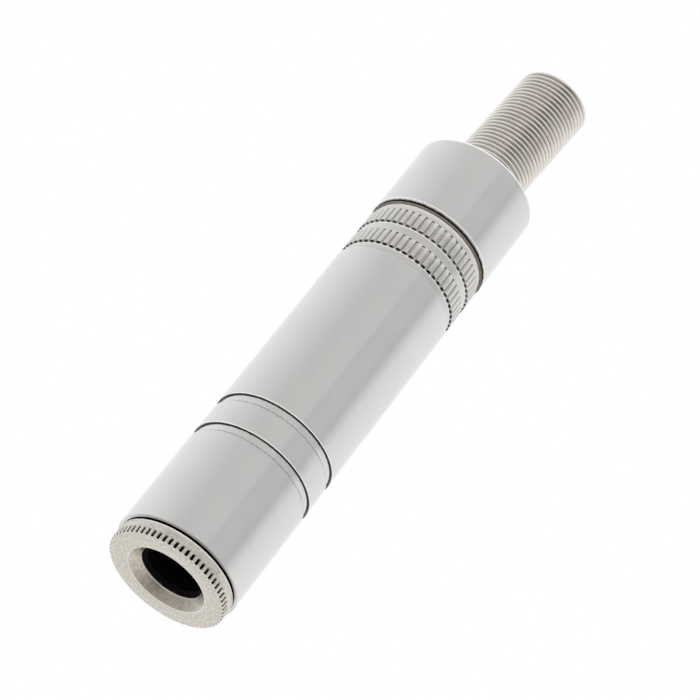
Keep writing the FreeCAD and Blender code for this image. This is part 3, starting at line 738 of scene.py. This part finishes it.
def makeBarrel():
    radius, front, rear = reach("barrel")
    outline = [(barrel["frontThread"], front, 0), (radius, front, barrel["edge"])]
    for start in barrel["grooves"]:
        for height, across in ((0, 0), (0, 1), (1, 1), (1, 0)):
            outline.append((radius - across * barrel["grooveDepth"],
                            front + start + height * barrel["grooveWidth"], barrel["grooveEdge"]))
    outline += [
        (radius, rear, barrel["edge"]),
        (barrel["rearThread"], rear, barrel["boreEdge"]),
        (barrel["rearThread"], rear - barrel["spigotRoom"], 0),
        (barrel["boreRadius"], rear - barrel["spigotRoom"], 0),
        (barrel["boreRadius"], front + barrel["shoulder"], 0),
        (barrel["frontThread"], front + barrel["shoulder"], 0),
    ]
    bm = outlineMesh(outline)
    spinRound(bm, barrel["steps"])
    floor = radius - barrel["grooveDepth"]
    starts = [front + start for start in barrel["grooves"]]
    ends = [start + barrel["grooveWidth"] for start in starts]
    # painted highlights behind the grooves; painted shade along the grooves' edges and floors, at the rear
    # edge and in the seam with the nut
    material = polishedPlating("barrel chrome", chrome, [
        ("edges", [ringAt(radius, end, barrel["grooveShine"]) for end in ends], "paintedHighlight"),
        ("lines", [ringAt(radius, start, barrel["grooveLine"]) for start in starts]
                  + [ringAt(floor, start, barrel["floorLine"]) for start in starts]
                  + [ringAt(radius, rear, barrel["rearLine"])], "paintedMidShade"),
        ("lines", [ringAt(floor, end, barrel["grooveShade"]) for end in ends], "paintedDarkShade"),
        ("lines", [ringAt(radius, front, barrel["seamShade"])], "paintedDeepShade"),
    ])
    addPiece(bm, "barrelTube", "chrome", material, "root", "barrel")


collar = {
    "landRadius": 7.03 * mm,
    "spigotRadius": 6.15 * mm,
    "spigotBore": 5.5 * mm,
    "bore": 5.084 * mm,
    "threadRadius": 6.004 * mm,
    "threadCore": 5.62 * mm,
    "bands": (0.92 * mm, 4.30 * mm),  # where each knurled band starts, behind the barrel
    "bandLength": 2.22 * mm,
    "top": 7.30 * mm,  # rear face of the last land, behind the barrel
    "edge": 0.07 * mm,
    "bandEdge": 0.05 * mm,
    "spigotEdge": 0.1 * mm,
    "boreEdge": 0.05 * mm,
    "rearEdge": 0.15 * mm,
    "teeth": 54,
    "columns": 10,  # of faces to a tooth and its gap
    "cuts": (0.22 * mm, 0.22 * mm, 0.03 * mm, 0, 0, 0),
    # painted highlights and painted shade, as on the nut
    "landShine": (0, -0.13 * mm, 0.06 * mm),
    "topShine": (0, -0.05 * mm, 0.1 * mm),
    "bandLine": (0, 0, 0.06 * mm),
    "lowerDashes": (0.05 * mm, 0.02 * mm, 0.19 * mm),
    "upperDashes": (0.05 * mm, 0.02 * mm, 0.16 * mm),
    "grooveShade": (0.1 * mm, 0.02 * mm, 0.4 * mm, 0.15 * mm),  # painted shade in the knurl's grooves, off both ends, below the lands and the teeth
}


def makeKnurledCollar():
    knurlRadius, front, rear = reach("knurled_collar")
    start = reach("barrel")[2]
    land, edge, bandEdge = collar["landRadius"], collar["edge"], collar["bandEdge"]
    outline = [
        (collar["spigotBore"], front, 0),
        (collar["spigotRadius"], front, collar["spigotEdge"]),
        (collar["spigotRadius"], start, 0),
        (land, start, edge),
    ]
    bands = [(start + offset, start + offset + collar["bandLength"]) for offset in collar["bands"]]
    for low, high in bands:
        outline += [(land, low, 0), (knurlRadius, low, 2 * bandEdge)]
        outline += [(knurlRadius, high, bandEdge), (land, high, 0)]
    top = start + collar["top"]
    outline += [
        (land, top, edge),
        (collar["threadCore"], top, collar["boreEdge"]),
        (collar["threadCore"], rear, collar["rearEdge"]),
        (collar["bore"], rear, collar["boreEdge"]),
        (collar["bore"], start, 0),
        (collar["spigotBore"], start, 0),
    ]
    bm = outlineMesh(outline)
    steps = collar["teeth"] * collar["columns"]
    spinRound(bm, steps)

    def knurled(radius, height):
        inBand = any(low - hair < height < high + hair for low, high in bands)
        return 1 if inBand and radius > land + 10 * hair else 0

    cutRound(bm, collar["columns"], collar["cuts"], knurled, steps)
    lower, upper = bands[0][0], bands[1][0]
    offLow, offHigh, deepest, shallowest = collar["grooveShade"]
    # painted highlights at the lands' edges; painted shade in the knurl's grooves, along the bands' rear
    # edges and as dashes under the front ends of the teeth
    material = polishedPlating("polished nickel", nickel, [
        ("edges", [ringAt(land, low, collar["landShine"]) for low in (lower, upper)]
                  + [ringAt(land, top, collar["topShine"])], "paintedHighlight"),
        ("pits", [(low + offLow, high - offHigh, land - deepest, knurlRadius - shallowest)
                  for low, high in bands], "paintedPaleShade"),
        ("lines", [ringAt(knurlRadius, high, collar["bandLine"]) for low, high in bands], "paintedMidShade"),
        ("dashes", [ringAt(knurlRadius, lower, collar["lowerDashes"])], "paintedDeepShade"),
        ("dashes", [ringAt(knurlRadius, upper, collar["upperDashes"])], "paintedDarkShade"),
    ])
    addPiece(bm, "knurledCollar", "satin_nickel", material, "root", "knurled_collar")
    return material


thread = {
    "pitch": 0.75 * mm,
    "start": 0.55 * mm,  # first turn, behind the last land
    "rootWidth": 0.66 * mm,
    "crestWidth": 0.1 * mm,
    "sink": 0.05 * mm,  # how far the ridge's foot lies in the core
    "turns": 7,
    "steps": 96,  # a turn
    "crestRound": 0.03 * mm,
    "fade": 0.4,  # turns over which the ridge rises at each end
}


def makeCollarThread(material):
    start = reach("barrel")[2] + collar["top"] + thread["start"]
    core, crest = collar["threadCore"] - thread["sink"], collar["threadRadius"]
    halfRoot, halfCrest = thread["rootWidth"] / 2, thread["crestWidth"] / 2
    bm = outlineMesh([
        (core, start - halfRoot, 0),
        (crest, start - halfCrest, thread["crestRound"]),
        (crest, start + halfCrest, thread["crestRound"]),
        (core, start + halfRoot, 0),
    ])
    spinHelix(bm, thread)
    for vert in bm.verts:  # the ridge rises out of the core at both ends
        radius = vert.co.xy.length
        height = (vert.co.z - start) / thread["pitch"]
        turn = math.atan2(vert.co.y, vert.co.x) / fullTurn % 1
        along = turn + round(height - turn)
        rise = min(1, max(0, min(along, thread["turns"] - along) / thread["fade"]))
        vert.co.xy *= (core + (radius - core) * rise) / radius
    addPiece(bm, "collarThread", "satin_nickel", material, "root")


cap = {
    "edge": 0.12 * mm,
    "rearEdge": 0.3 * mm,
    "boreEdge": 0.1 * mm,
    "wall": 1.3 * mm,
    "holeRadius": 4.65 * mm,
    "cavityRadius": 5.754 * mm,
    "threadBore": 6.054 * mm,
    "threadDepth": 5.59 * mm,
    "steps": 192,
    # painted highlights and painted shade, as on the nut
    "frontShine": (0, 0.3 * mm, 0.06 * mm),
    "rearShine": (0.03 * mm, -0.18 * mm, 0.21 * mm),
    "seamShade": (0.3 * mm, -0.02 * mm, 0.32 * mm),
}


def makeRearCap():
    radius, front, rear = reach("rear_cap")
    bm = outlineMesh([
        (cap["threadBore"], front, cap["boreEdge"]),
        (radius, front, cap["edge"]),
        (radius, rear, cap["rearEdge"]),
        (cap["holeRadius"], rear, cap["edge"]),
        (cap["holeRadius"], rear - cap["wall"], 0),
        (cap["cavityRadius"], rear - cap["wall"], 0),
        (cap["cavityRadius"], front + cap["threadDepth"], 0),
        (cap["threadBore"], front + cap["threadDepth"], 0),
    ])
    spinRound(bm, cap["steps"])
    # painted highlights on the front and rear edges; painted shade at the front edge next to the washer
    material = polishedPlating("cap chrome", chrome, [
        ("edges", [ringAt(radius, front, cap["frontShine"]),
                   ringAt(radius, rear, cap["rearShine"])], "paintedHighlight"),
        ("lines", [ringAt(radius, front, cap["seamShade"])], "paintedDarkShade"),
    ])
    addPiece(bm, "rearCap", "chrome", material, "cap", "rear_cap")


washer = {"innerRadius": 6.054 * mm, "edge": 0.05 * mm, "steps": 128}


def makeCapWasher():
    radius, front, rear = reach("cap_washer")
    bm = outlineMesh([
        (washer["innerRadius"], front, 0),
        (radius, front, washer["edge"]),
        (radius, rear, washer["edge"]),
        (washer["innerRadius"], rear, 0),
    ])
    spinRound(bm, washer["steps"])
    addPiece(bm, "capWasher", "fibre", finish["fibre"], "root", "cap_washer")


seat = {
    "boreRadius": 2.9 * mm,
    "spoutRadius": 3.45 * mm,
    "spoutLength": 3.0 * mm,
    "skirtBore": 5.004 * mm,
    "floor": 1.0 * mm,
    "edge": 0.15 * mm,
    "steps": 96,
}


def makeSpringSeat():
    radius, front, top = reach("spring_seat")
    shelf = top - seat["spoutLength"]
    bm = outlineMesh([
        (seat["boreRadius"], shelf - seat["floor"], seat["edge"]),
        (seat["skirtBore"], shelf - seat["floor"], seat["edge"]),
        (seat["skirtBore"], front, 0),
        (radius, front, seat["edge"]),
        (radius, shelf, seat["edge"]),
        (seat["spoutRadius"], shelf, seat["edge"]),
        (seat["spoutRadius"], top, seat["edge"]),
        (seat["boreRadius"], top, seat["edge"]),
    ])
    spinRound(bm, seat["steps"])
    addPiece(bm, "springSeat", "white_nylon", finish["white_nylon"], "spring_carrier", "spring_seat")


spring = {
    "outerRadius": 4.35 * mm,
    "solidWire": 0.56 * mm,
    "wire": 0.59 * mm,
    "pitch": 0.607 * mm,
    "turns": 29.2,
    "lean": 2.9,  # degrees, towards +X
    "steps": 48,  # a turn
    "sides": 12,
    # painted shade where the turns meet, and the shares of the wire over which it comes in
    "creviceShade": (0.25, 0.235, 0.22),
    "creviceShadeSpan": (0.24, 0.39),  # shares of the wire's thickness, in from its outer and inner side
    "bendStart": 2.4 * mm,  # above the seat, clear of the cap's hole
    "bendEnd": 17.0 * mm,
}


def makeKinkSpring():
    shelf = reach("spring_seat")[2] - seat["spoutLength"]
    lean = math.radians(spring["lean"])
    bm = bmesh.new()
    bmesh.ops.create_circle(bm, cap_ends=False, radius=spring["wire"] / 2, segments=spring["sides"])
    bmesh.ops.rotate(bm, verts=bm.verts[:], cent=(0, 0, 0), matrix=Matrix.Rotation(math.pi / 2, 3, "X"))
    bmesh.ops.translate(bm, verts=bm.verts[:], vec=(spring["outerRadius"] - spring["wire"] / 2, 0, 0))
    spinHelix(bm, spring)
    crevice = bm.verts.layers.float.new("crevice")
    for vert in bm.verts:  # greatest along the line where two turns meet
        depth = (spring["outerRadius"] - vert.co.xy.length) / spring["wire"]
        vert[crevice] = min(depth, 1 - depth)
    bmesh.ops.rotate(bm, verts=bm.verts[:], cent=(0, 0, 0), matrix=Matrix.Rotation(lean, 3, "Y"))
    foot = spring["solidWire"] / 2 + spring["outerRadius"] * math.sin(lean)
    bmesh.ops.translate(bm, verts=bm.verts[:], vec=(0, 0, shelf + foot))
    piece = addPiece(bm, "kinkSpring", "spring_nickel", springNickel(), None, "kink_spring")
    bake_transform(piece)


def dressNodes():
    for part in frame["record"]["subparts"]:
        if part["node"] not in replacedNodes:
            mesh = frame["nodes"][part["node"]].data
            mesh.materials.clear()
            mesh.materials.append(finish[part["material_slot"]])
    print("inner pieces dressed")


placeCamera()
lightTent()
hangLamp()
layFloor()
makeFrontNut()
makeBarrel()
makeCollarThread(makeKnurledCollar())
makeRearCap()
makeCapWasher()
makeSpringSeat()
makeKinkSpring()
dressNodes()
